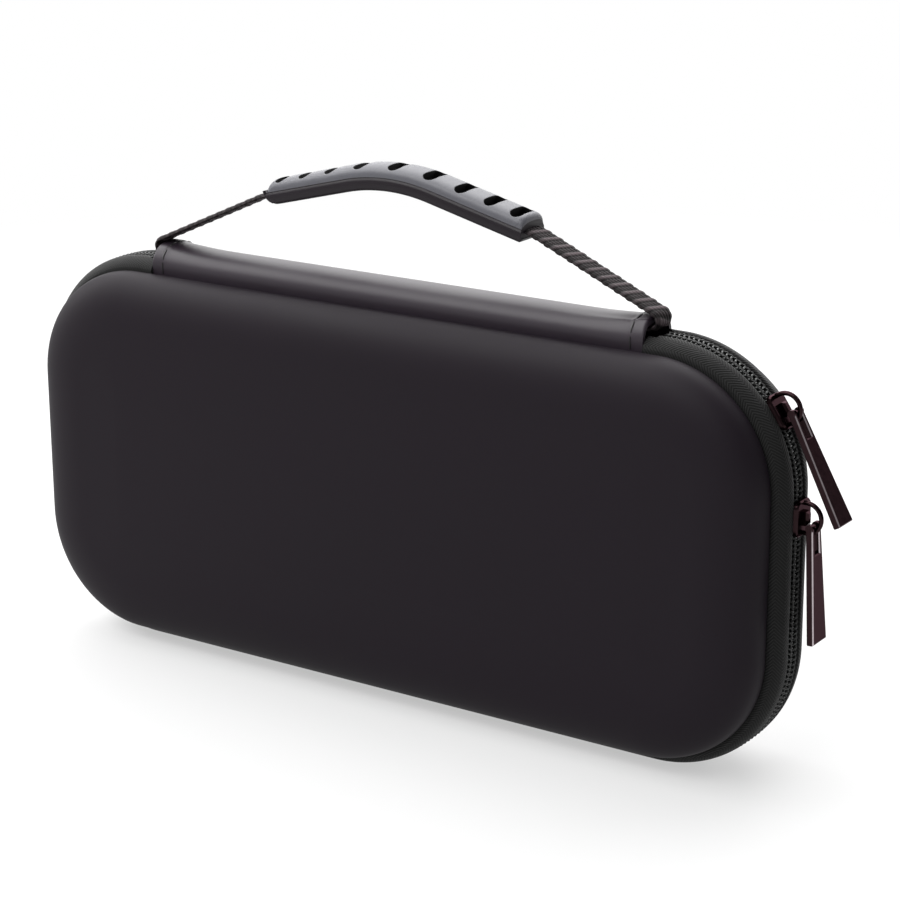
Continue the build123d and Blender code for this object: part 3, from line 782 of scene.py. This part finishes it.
edge_turn = np.linspace(-1, 1, WEB_ACROSS)
round_off = np.sqrt(np.clip(1 - np.abs(edge_turn) ** EDGE_ROUND, 0, 1))
edge_shade = 1 - EDGE_SHADE * np.abs(edge_turn) ** EDGE_ROUND
rows, thread = [], []
for along in np.linspace(-WEB_HALF_L, WEB_HALF_L, round(2 * WEB_HALF_L / WEB_STEP)):
    ring_rows, ring_thread = [], []
    for face in (1, -1):
        y = face * edge_turn * WEB_HALF_W
        place = (along + face * ROW_SLANT * y) / ROW_MM
        whole = eased(np.cos(math.pi * place), *WHOLE_ROWS)   # every second row lies over all columns
        row = np.sqrt(np.abs(np.cos(math.pi * (place - np.round(place)))))
        column = eased(np.cos(2 * math.pi * y / COLUMN_MM), *COLUMNS)
        lump = row * (whole * (1 - COLUMN_DIP * (1 - column)) + (1 - whole) * BROKEN_H * column)
        height = face * round_off * (WEB_T / 2 + (LOFT if face > 0 else 0) + YARN_H * (lump - 1))
        scallop = row * (BROKEN_EDGE + (1 - BROKEN_EDGE) * whole) - 0.5
        wide = y * (1 + (BULGE + SCALLOP * scallop * np.abs(edge_turn) ** 4) / WEB_HALF_W)
        ring_rows.append(webbing_points(along, wide, height))
        # The third value paints the yarn: pale on its crowns as painted light, dark in its gaps and at its
        # edges as painted shade.
        ring_thread.append(np.stack([np.full_like(y, along), y, lump ** GAP_SHADE_POWER * edge_shade], axis=1))
    rows.append(np.concatenate(ring_rows))
    thread.append(np.concatenate(ring_thread))
points, faces = skin(rows)
webbing = make("woven_webbing", points, faces, [webbing_yarn], thread=np.concatenate(thread))
settle(webbing, "handle", "handle_webbing")

# %% [markdown]
# ## Handle grip
# The grip is thermoplastic rubber, moulded round the webbing. Its crown is a shallow dome with nine cross
# slots, and a fine groove parts the dome from the side walls. A fine noise gives it the even roughness of a
# spark-eroded tool. The crown is painted pale as painted light on its lit top, the walls, a little smoother,
# are painted darker as painted shade, and the slots near black as painted shade. Each slot sits in a cell of
# its
# own: rings run from the cell's square edge to the slot's rim, round its fillet and down to the floor, so the
# mesh stays clean quads.

# %% Moulded rubber finish
SPARK_MM = 0.35


def moulded_rubber(name, dark, pale, smooth, rough, shine):
    """Moulded rubber with the fine roughness of its tool."""
    finish, tree, shader = begin_finish(name, {"IOR": 1.5, "Specular IOR Level": shine})
    spark = noise(tree, SPARK_MM, 3.0)
    colour_and_relief(tree, shader, spark, dark, pale, 0.25, 0.05)
    vary_gloss(tree, shader, spark, smooth, rough)
    return finish


# The crown's paler colour is painted light on its lit top; the walls' and slots' darker colours are painted
# shade.
crown_rubber_painted_light = moulded_rubber("thermoplastic_rubber_spark_eroded_painted_light", "#434348", "#54545b", 0.40, 0.58, 0.5)
wall_rubber_painted_shade = moulded_rubber("thermoplastic_rubber_polished_painted_shade", "#120d12", "#1c161c", 0.36, 0.5, 0.22)
slot_rubber_painted_shade = moulded_rubber("thermoplastic_rubber_slot_painted_shade", "#050405", "#0a080a", 0.5, 0.7, 0.15)

# %% Grip slots
CROWN_H, CROWN_EDGE_H, CROWN_EDGE_Y, CROWN_POWER = 4.5, 1.2, 5.7, 2.8
SLOT_HALF_W, SLOT_HALF_L, SLOT_FLOOR, SLOT_Y = 1.85, 4.6, 1.7, -0.2
SLOT_FOOT = ((0.0, 0.35), (-0.1, 0.1), (-0.35, 0.0))   # growth of its outline and height over its floor
SLOT_SHIFT = 1.2
SLOT_PLACES = SLOT_SHIFT + np.array([-40.0, -31.3, -21.7, -11.3, 0.0, 11.3, 21.9, 31.9, 40.8])
RIM_R, RIM_STEPS = 0.25, 5
TINY = 1e-9          # keeps a division from zero
CELL_ALONG, CELL_ACROSS = 14, 18
CELL_RINGS = (0, 0.03, 0.09, 0.18, 0.32, 0.5, 0.68, 0.85)   # closer where the dome is steep
DOME_Y = -CROWN_EDGE_Y * np.cos(np.linspace(0, math.pi, CELL_ACROSS + 1))


def crown(y):
    """Height of the grip's dome at y."""
    across = np.minimum(np.abs(y) / CROWN_EDGE_Y, 1)
    return CROWN_EDGE_H + (CROWN_H - CROWN_EDGE_H) * (1 - across ** CROWN_POWER) ** (1 / CROWN_POWER)


def slot_edge(direction, grow):
    """Points of the slot's outline, grown by a distance, in directions (along, across) from its middle."""
    run, cross = np.abs(direction[:, 0]), np.abs(direction[:, 1])
    half, straight = SLOT_HALF_W + grow, SLOT_HALF_L - SLOT_HALF_W
    to_side = half / np.maximum(run, TINY)
    size = run ** 2 + cross ** 2
    middle = cross * straight
    to_end = (middle + np.sqrt(middle ** 2 - size * (straight ** 2 - half ** 2))) / size
    scale = np.where(to_side * cross <= straight, to_side, to_end)
    return direction * scale[:, None]


def slot_cell(middle, start, end):
    """Points and faces from the square edge of a slot's cell, which runs from start to end, into the slot."""
    u, v = np.linspace(start, end, CELL_ALONG + 1) - middle, DOME_Y - SLOT_Y
    square = [(a, v[0]) for a in u[:-1]] + [(u[-1], b) for b in v[:-1]]
    square = np.array(square + [(a, v[-1]) for a in u[:0:-1]] + [(u[0], b) for b in v[:0:-1]])
    rim = slot_edge(square, RIM_R)
    steps = [(square * (1 - part) + rim * part, 0.0) for part in CELL_RINGS]
    for t in quarter(RIM_STEPS):
        steps.append((slot_edge(square, RIM_R * (1 - math.sin(t))), RIM_R * (1 - math.cos(t))))
    rows = []
    for at, sink in steps:
        rows.append(webbing_points(middle + at[:, 0], SLOT_Y + at[:, 1], crown(SLOT_Y + at[:, 1]) - sink))
    for grow, rise in SLOT_FOOT:
        at = slot_edge(square, grow)
        height = np.minimum(SLOT_FLOOR + rise, crown(SLOT_Y + at[:, 1]) - RIM_R)
        rows.append(webbing_points(middle + at[:, 0], SLOT_Y + at[:, 1], height))
    points, faces = skin(rows, caps=False)
    faces.append(tuple(range((len(rows) - 1) * len(square), len(rows) * len(square))))
    return points, faces


# %% Grip mesh
WALLS = (   # across and height, from the groove under the dome to the palm
    (5.62, 1.0), (5.75, 0.85), (5.98, 0.6), (6.12, 0.2), (6.2, -0.6),
    (6.15, -1.7), (5.9, -2.2), (5.4, -2.6), (4.6, -2.7))
PALM_H = -2.7
GRIP_ENDS = {-1: (43.4, 3.0, 4.6), 1: (46.0, 1.6, 1.4)}   # reach, upper and lower rounding of each end
UPRIGHT_FROM = 30.0  # from here on the walls lean, so that the ends stand upright
END_STEPS = 8


def wall_row(along):
    """The grip's side walls and palm at one place, from the front edge of the dome to the rear edge."""
    section = np.array([(CROWN_EDGE_Y, CROWN_EDGE_H), *WALLS])
    section = np.concatenate([section * (-1, 1), section[::-1]])
    side = 1 if along > 0 else -1
    reach, tip_r, toe_r = GRIP_ENDS[side]
    near = np.clip(abs(along) - (reach - toe_r), 0, toe_r)
    toe = toe_r - math.sqrt(toe_r ** 2 - near ** 2)
    height = np.maximum(section[:, 1], PALM_H + toe)
    lean = math.tan(GRIP_SLOPE) * np.clip((abs(along) - UPRIGHT_FROM) / (reach - UPRIGHT_FROM), 0, 1)
    return webbing_points(along + side * lean * (CROWN_EDGE_H - section[:, 1]), section[:, 0], height)


stops = {side: reach - tip_r for side, (reach, tip_r, toe_r) in GRIP_ENDS.items()}
cell_edges = np.concatenate([[-stops[-1]], (SLOT_PLACES[1:] + SLOT_PLACES[:-1]) / 2, [stops[1]]])
cells = list(zip(SLOT_PLACES, cell_edges[:-1], cell_edges[1:]))
parts = [slot_cell(*cell) for cell in cells]
ring_faces = 2 * (CELL_ALONG + CELL_ACROSS)
dome_faces = (len(CELL_RINGS) + RIM_STEPS // 2) * ring_faces   # the upper half of the rim is crown too
kinds = ([0] * dome_faces + [2] * (len(parts[0][1]) - dome_faces)) * len(cells)
places = [np.linspace(start, end, CELL_ALONG + 1)[:-1] for middle, start, end in cells]
places = np.concatenate([*places, [stops[1]]])
parts.append(skin([wall_row(s) for s in places], around=False))
kinds += [1] * len(parts[-1][1])
for side, (reach, tip_r, toe_r) in GRIP_ENDS.items():
    walls, domes = [], []
    for t in quarter(END_STEPS):
        at = side * (stops[side] + tip_r * math.sin(t))
        height = np.maximum(crown(DOME_Y) - tip_r * (1 - math.cos(t)), CROWN_EDGE_H)
        domes.append(webbing_points(at, DOME_Y, height))
        walls.append(wall_row(at))
    loop = np.concatenate([domes[-1], walls[-1][::-1]])
    for rows, kind in ((walls, 1), (domes, 0)):
        parts.append(skin(rows, around=False))
        kinds += [kind] * len(parts[-1][1])
    parts.append((loop, [tuple(range(len(loop)))]))
    kinds += [1]
grip = make("moulded_grip", *join(parts), [crown_rubber_painted_light, wall_rubber_painted_shade, slot_rubber_painted_shade], kinds, weld=True)
settle(grip, "handle", "handle_grip")

# %% [markdown]
# ## Sliders and pulls
# Sliders and pulls are die-cast zinc with a dark bright plating. Their facets are in the CAD, so the CAD
# nodes stay and get the finish: a metal mirrors its surroundings, tinted, and tumbling before the plating
# leaves it slightly uneven. The chamfers along the pulls are given paler metal, a painted highlight that
# draws the bright lines by which the eye knows a polished bar.

# %% Plated zinc finish
TUMBLE_MM = 1.6


def plated_metal(name, dark, pale, smooth, rough):
    """Plated metal with the slow unevenness that tumbling leaves."""
    finish, tree, shader = begin_finish(name, {"Metallic": 1.0, "Specular Tint": linear("#d0c6c9")})
    tumble = noise(tree, TUMBLE_MM, 2.0)
    colour_and_relief(tree, shader, tumble, dark, pale, 0.06, 0.05)
    vary_gloss(tree, shader, tumble, smooth, rough)
    return finish


plated_zinc = plated_metal("die_cast_zinc_gunmetal_plated", "#221719", "#2c2022", 0.14, 0.24)
# Painted highlight: pale metal for the bright lines along the pulls' chamfers.
painted_highlight_zinc = plated_metal("die_cast_zinc_edge_painted_highlight", "#a0969a", "#bdb4b7", 0.2, 0.3)

# %% Painted edge highlights
LONG_MM = 5.0        # only the chamfers along a pull's length get the painted highlight
CHAMFER_Y = (0.6, 0.8)   # a chamfer leans halfway to Y

for node in ("upper_slider", "lower_slider", "upper_pull", "lower_pull"):
    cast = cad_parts[node].data
    cast.materials.clear()
    for finish in (plated_zinc, painted_highlight_zinc):
        cast.materials.append(finish)
    highlighted = 0
    for face in cast.polygons:
        corners = np.array([cast.vertices[v].co for v in face.vertices]) / MM
        chamfer = CHAMFER_Y[0] < abs(face.normal.y) < CHAMFER_Y[1] and np.ptp(corners, axis=0).max() > LONG_MM
        face.material_index = int(chamfer and node.endswith("pull"))
        highlighted += face.material_index
    print("plated", node, "with", highlighted, "burnished faces")

# %% [markdown]
# ## Rim bindings
# Inside, a ribbed tape is folded over the raw edge where cover, tape and lining are sewn together. Its
# section is carried round the whole outline, and its ribs run along it.

# %% Ribbed tape finish
PICK_SHARE = 0.6     # the weft lies closer than the ribs


def ribbed_tape(name, dark, pale, rib_mm):
    """Woven tape with ribs along it, drawn from its distances across."""
    finish, tree, shader = begin_finish(name, {"Roughness": 0.85, "IOR": 1.5, "Sheen Weight": 0.25})
    place = add(tree, "SeparateXYZ", {0: thread_place(tree)}).outputs
    rib, pick = wave(tree, place["Y"], rib_mm), wave(tree, place["X"], PICK_SHARE * rib_mm)
    cloth = add(tree, "Math", {0: rib, 1: pick, 2: rib}, operation="MULTIPLY_ADD")
    level = add(tree, "MapRange", {"Value": cloth.outputs[0], 1: -2.0, 2: 2.0})
    colour_and_relief(tree, shader, level.outputs[0], dark, pale, 0.6, 0.2)
    return finish


binding_tape = ribbed_tape("polyester_binding_ribbed_woven", "#0f0f10", "#26262a", 0.9)
elastic_band = ribbed_tape("elastic_band_ribbed_woven", "#121213", "#2c2c30", 1.3)

# %% Binding meshes
binding_low, binding_high = span("front_rim_binding")
BIND_T = 0.6
BEND_R, BEND_MIDDLE, BIND_CUT = 0.5, 0.15, 0.2   # the fold over the rim, the middle of its bend, the cut edge
BIND_STEPS = 5

bind_top, bind_reach = -binding_high[1], -binding_low[1]
bind_out, bind_in = -HEM_TOP, inner_inset + BIND_T
over_rim = np.linspace(bind_out + BEND_R, bind_in - BEND_R, BIND_STEPS)
down_wall = np.linspace(bind_top + 2 * BEND_R, bind_reach - BIND_CUT, BIND_STEPS)
bind_profile = np.array([
    (bind_out, RIM_Y), (bind_out, bind_top + BEND_R / 2), (bind_out + BEND_R / 2, bind_top),
    *[(inset, bind_top) for inset in over_rim],
    (bind_in - BEND_MIDDLE, bind_top + BEND_MIDDLE), (bind_in, bind_top + BEND_R),
    *[(bind_in, y) for y in down_wall],
    (bind_in - BIND_CUT, bind_reach), (inner_inset, bind_reach), (inner_inset, RIM_Y)])
outline_along = lengths(ring(0, 0))
for side, half in HALVES:
    points, faces = skin([ring(inset, side * y) for inset, y in bind_profile], joined=True)
    thread = np.concatenate([weave(outline_along, across) for across in lengths(bind_profile)])
    binding = make(half + "_ribbed_binding", points, faces, [binding_tape], thread=thread)
    settle(binding, half + "_half", half + "_rim_binding")

# %% [markdown]
# ## Console bed
# The console lies on a foam pad faced with velour, a little crowned and pulled in at its edge. Two elastic
# straps meet over it, joined by a patch of hook tape. The pad is only 4 mm of firm foam, so its crown is
# written as a curve and needs no simulated cloth.

# %% Velour finish
PILE_MM, BRUSHED_MM = 0.9, 25.0   # the pile, and the patches in which it lies one way
PILE_LEVELS = (0.12, 0.42)        # what the two together range over

pad_velour, tree, shader = begin_finish(
    "polyester_velour_on_foam", {"Roughness": 1.0, "IOR": 1.5, "Sheen Weight": 0.6, "Sheen Roughness": 0.35})
pile, brushed = noise(tree, PILE_MM, 5.0), noise(tree, BRUSHED_MM, 2.0)
shade = add(tree, "Math", {0: pile, 1: brushed}, operation="MULTIPLY")
level = add(tree, "MapRange", {"Value": shade.outputs[0], 1: PILE_LEVELS[0], 2: PILE_LEVELS[1]})
colour_and_relief(tree, shader, level.outputs[0], "#1a1a1d", "#37373c", 0.35, 0.25, pile)

# %% Console pad
pad_low, pad_high = span("console_pad")
PAD_INSET, PAD_ROUND, PAD_CROWN, PAD_CUT = HALF_W - pad_high[0], 2.2, 0.5, 0.4

pad_back, pad_face, pad_flat = pad_high[1], pad_low[1], PAD_INSET + PAD_ROUND
pad_profile = [(MIDDLE_INSET, pad_back), (PAD_INSET + PAD_CUT, pad_back), (PAD_INSET, pad_back - PAD_CUT)]
for t in quarter(8):
    edge_y = pad_face + PAD_CROWN + PAD_ROUND * (1 - math.sin(t))
    pad_profile.append((pad_flat - PAD_ROUND * math.cos(t), edge_y))
for t in quarter(7)[1:]:
    inset = pad_flat + (MIDDLE_INSET - pad_flat) * math.sin(t)
    pad_profile.append((inset, pad_face + PAD_CROWN * math.cos(t)))
pad = make("velour_console_pad", *skin([ring(inset, y) for inset, y in pad_profile]), [pad_velour])
settle(pad, "rear_half", "console_pad")

# %% Elastic straps and hook patch
STRAP_T = 1.2
STRAP_STEP, STRAP_SIDES = 0.9, 48
FLAT, ROUNDED = 0.3, 0.7   # powers that square off a band's face and its edge
STRAP_RAMP = 6.0           # over which the upper strap climbs onto the lower one


def squared(value, power):
    """A sine or cosine that stays nearer to 1 and -1."""
    return np.sign(value) * np.abs(value) ** power


def strap(name, centre, half_w, node):
    """An elastic strap along a line of (y, z) points, rounded at its edges."""
    line = np.array(centre, float)
    length = lengths(line)
    stations = np.linspace(0, length[-1], round(length[-1] / STRAP_STEP))
    y, z = (np.interp(stations, length, line[:, k]) for k in range(2))
    tangent = np.stack([np.gradient(y), np.gradient(z)], axis=1)
    tangent /= np.linalg.norm(tangent, axis=1)[:, None]
    turns = np.linspace(0, 2 * math.pi, STRAP_SIDES, endpoint=False)
    wide = squared(np.cos(turns), FLAT) * half_w
    high = squared(np.sin(turns), ROUNDED) * STRAP_T / 2
    rows, thread = [], []
    for i, at in enumerate(stations):
        rows.append(np.stack([wide, y[i] - tangent[i, 1] * high, z[i] + tangent[i, 0] * high], axis=1))
        thread.append(weave(at, wide))
    piece = make(name, *skin(rows), [elastic_band], thread=np.concatenate(thread))
    settle(piece, "rear_half", node)


low_low, low_high = span("console_strap_lower")
up_low, up_high = span("console_strap_upper")
pad_top, over_top = low_high[1] - STRAP_T / 2, up_low[1] + STRAP_T / 2
lower_line = [(pad_top, low_low[2]), (pad_top, low_high[2])]
upper_line = [(pad_top, up_high[2]), (pad_top, low_high[2] + STRAP_RAMP)]
upper_line += [(over_top, low_high[2]), (over_top, up_low[2])]
strap("elastic_strap_lower", lower_line, low_high[0], "console_strap_lower")
strap("elastic_strap_upper", upper_line, up_high[0], "console_strap_upper")

# %% [markdown]
# ## Hook patch
# Hook tape is a woven strip with rows of tiny cut hooks. At this size they read as rows of dots, so the patch
# is a strip with a grid of short pegs, set between the two straps.

# %% Hook patch mesh
HOOK_PITCH, HOOK_W, HOOK_H, PATCH_BASE_T = 1.1, 0.45, 0.4, 0.4
HOOK_TAPER = 0.6
FIRST_HOOK, LAST_HOOK = 0.8, 0.5   # distances from the patch's edges

patch_low, patch_high = span("strap_patch")
hook_tape = ribbed_tape("nylon_hook_tape_woven", "#101011", "#232326", 1.1)
base_y = patch_high[1] - PATCH_BASE_T / 2
strip = [[(sx * patch_high[0], base_y - sy * PATCH_BASE_T / 2, z) for sx, sy in SQUARE]
         for z in (patch_low[2], patch_high[2])]
parts = [skin(strip)]
for x in np.arange(patch_low[0] + FIRST_HOOK, patch_high[0] - LAST_HOOK, HOOK_PITCH):
    for z in np.arange(patch_low[2] + FIRST_HOOK, patch_high[2] - LAST_HOOK, HOOK_PITCH):
        peg = [[(x + sx * w / 2, y, z + sz * w / 2) for sx, sz in SQUARE]
               for y, w in ((base_y, HOOK_W), (base_y - HOOK_H, HOOK_TAPER * HOOK_W))]
        parts.append(skin(peg))
points, faces = join(parts)
patch = make("hook_patch", points, faces, [hook_tape], thread=points[:, [2, 0, 1]])
settle(patch, "rear_half", "strap_patch")

# %% [markdown]
# ## Mesh pocket
# The pocket in the lid is knitted net, held in a sewn edge and finished with a band of elastic along its
# mouth. The net is modelled as real holes, six-sided as knitted net is, so that light and the lining show
# through.

# %% Net finish and mesh
net_yarn = drawn_thread("polyester_net_knitted", "#141415", "#2b2b2e", 0.7, 0.5)
net_low, net_high = span("mesh_pocket")
NET_PITCH, NET_HOLE, NET_T = 3.4, 0.66, 0.4   # the hole is a share of its cell
NET_MARGIN = 1.2
NET_INSET = HALF_W - net_high[0]


def in_pocket(x, z, margin):
    """Whether a point lies inside the pocket's outline, by a margin."""
    reach = CORNER_R - NET_INSET - margin
    over = np.maximum(np.abs(x) - CORNER_X, 0)
    under = np.maximum(LOW_Z - z, 0)
    return (np.hypot(over, under) < reach) & (z < net_high[2] - margin)


net_y = (net_low[1] + net_high[1]) / 2
hexagon = np.radians(np.arange(6) * 60 + 30)
cell_r, row_h = NET_PITCH / math.sqrt(3), NET_PITCH * math.sqrt(3) / 2
row_count, column_count = math.ceil((net_high[2] - net_low[2]) / row_h), math.ceil(net_high[0] / NET_PITCH)
points, faces = [], []
for j in range(row_count + 1):
    for i in range(-column_count, column_count + 1):
        x, z = (i + 0.5 * (j % 2)) * NET_PITCH, net_low[2] + j * row_h
        if not in_pocket(x, z, NET_MARGIN):
            continue
        start = len(points)
        for y in (net_y - NET_T / 2, net_y + NET_T / 2):
            for size in (cell_r, cell_r * NET_HOLE):
                points += [(x + size * math.cos(t), y, z + size * math.sin(t)) for t in hexagon]
        for k in range(6):
            n = (k + 1) % 6
            for a, b in ((0, 6), (12, 18), (6, 18)):   # front, back and the wall of the hole
                faces.append((start + a + k, start + a + n, start + b + n, start + b + k))
net = make("knitted_net", points, faces, [net_yarn], weld=True)
settle(net, "front_half", "mesh_pocket")

# %% Pocket edge and hem
edge_low, edge_high = span("mesh_pocket_edge")
hem_low, hem_high = span("mesh_pocket_hem")
EDGE_W, EDGE_STEPS = 6.0, 9
EDGE_CROWN = 0.35
EDGE_GAP, EDGE_SEAT, EDGE_ROOM = 0.2, 0.02, 0.1   # clear of the net's outline, the lining and the CAD's face

pocket_top = edge_high[2]
loop_points = ring(NET_INSET, 0.0)
from_top = np.abs(loop_points[:, 2] - pocket_top)
first = int(np.argmin(np.where(loop_points[:, 0] > 0, from_top, np.inf)))
last = int(np.argmin(np.where(loop_points[:, 0] < 0, from_top, np.inf)))
count = len(loop_points)
indices = [(last + k) % count for k in range((first - last) % count + 1)]
rows, thread = [], []
for share, lift in [(0, 0.0), *[(a, 1.0) for a in np.linspace(0, 1, EDGE_STEPS)], (1, 0.0)]:
    dip = EDGE_CROWN * (2 * share - 1) ** 2
    y = edge_low[1] + EDGE_SEAT + lift * (edge_high[1] - edge_low[1] - EDGE_ROOM - dip)
    line = ring(NET_INSET + EDGE_GAP + share * EDGE_W, y)[indices]
    line[:, 2] = np.minimum(line[:, 2], pocket_top)
    rows.append(line)
    thread.append(weave(outline_along[indices], share * EDGE_W))
points, faces = skin(np.swapaxes(np.array(rows), 0, 1))
thread = np.swapaxes(np.array(thread), 0, 1).reshape(-1, 3)
pocket_edge = make("pocket_binding", points, faces, [binding_tape], thread=thread)
settle(pocket_edge, "front_half", "mesh_pocket_edge")

# %% Gathered hem
GATHER_MM, GATHER_H = 4.2, 0.25
HEM_ROWS, HEM_SIDES = 380, 40
HEM_FLAT = 0.4

hem_mid = (hem_low + hem_high) / 2
half_t, half_h = (hem_high[1] - hem_low[1]) / 2, (hem_high[2] - hem_low[2]) / 2
rows, thread = [], []
turns = np.linspace(0, 2 * math.pi, HEM_SIDES, endpoint=False)
for x in np.linspace(hem_low[0], hem_high[0], HEM_ROWS):
    pucker = 1 - GATHER_H * (0.5 + 0.5 * math.sin(2 * math.pi * x / GATHER_MM))
    y = squared(np.sin(turns), ROUNDED) * half_t * pucker
    z = squared(np.cos(turns), HEM_FLAT) * half_h
    rows.append(np.stack([np.full_like(y, x), hem_mid[1] + y, hem_mid[2] + z], axis=1))
    thread.append(weave(x, z))
hem = make("pocket_elastic_hem", *skin(rows), [elastic_band], thread=np.concatenate(thread))
settle(hem, "front_half", "mesh_pocket_hem")
